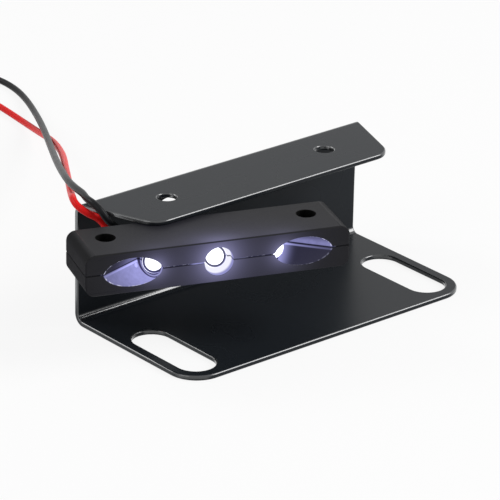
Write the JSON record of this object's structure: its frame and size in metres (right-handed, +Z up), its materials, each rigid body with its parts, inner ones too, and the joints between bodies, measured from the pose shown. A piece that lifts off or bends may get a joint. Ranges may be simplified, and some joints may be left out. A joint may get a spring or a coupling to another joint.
{
  "type": "license plate holder",
  "caption": "Folded black sheet bracket with two long slots in its base and two holes in its top flange, with a slim plate lamp and its red and black wires.",
  "frame": {"origin": "middle of the base plate's underside, halfway across its width and its depth over the fold", "axes": "+X to the right along the folds, +Y from the open front towards the web, +Z up"},
  "size_m": [0.0944, 0.1828, 0.031],
  "materials": {
    "black_coat": "satin black powder coat",
    "lamp_plastic": "moulded black plastic with a fine satin texture",
    "led_resin": "clear epoxy, lit cool white",
    "board_laminate": "green circuit board",
    "resistor_body": "lacquered",
    "diode_glass": "orange glass bead",
    "seal_rubber": "matt moulded rubber",
    "red_insulation": "smooth soft insulation",
    "black_insulation": "smooth soft insulation",
    "tinned_copper": "tinned strands"
  },
  "bodies": {
    "root": {"bracket": "black_coat", "lamp_lower_shell": "lamp_plastic", "lamp_upper_shell": "lamp_plastic", "led_left": "led_resin", "led_middle": "led_resin", "led_right": "led_resin", "circuit_board": "board_laminate", "resistor": "resistor_body", "polarity_diode": "diode_glass", "cable_seal": "seal_rubber", "red_wire": "red_insulation", "black_wire": "black_insulation", "red_wire_strands": "tinned_copper", "black_wire_strands": "tinned_copper"}
  },
  "joints": []
}
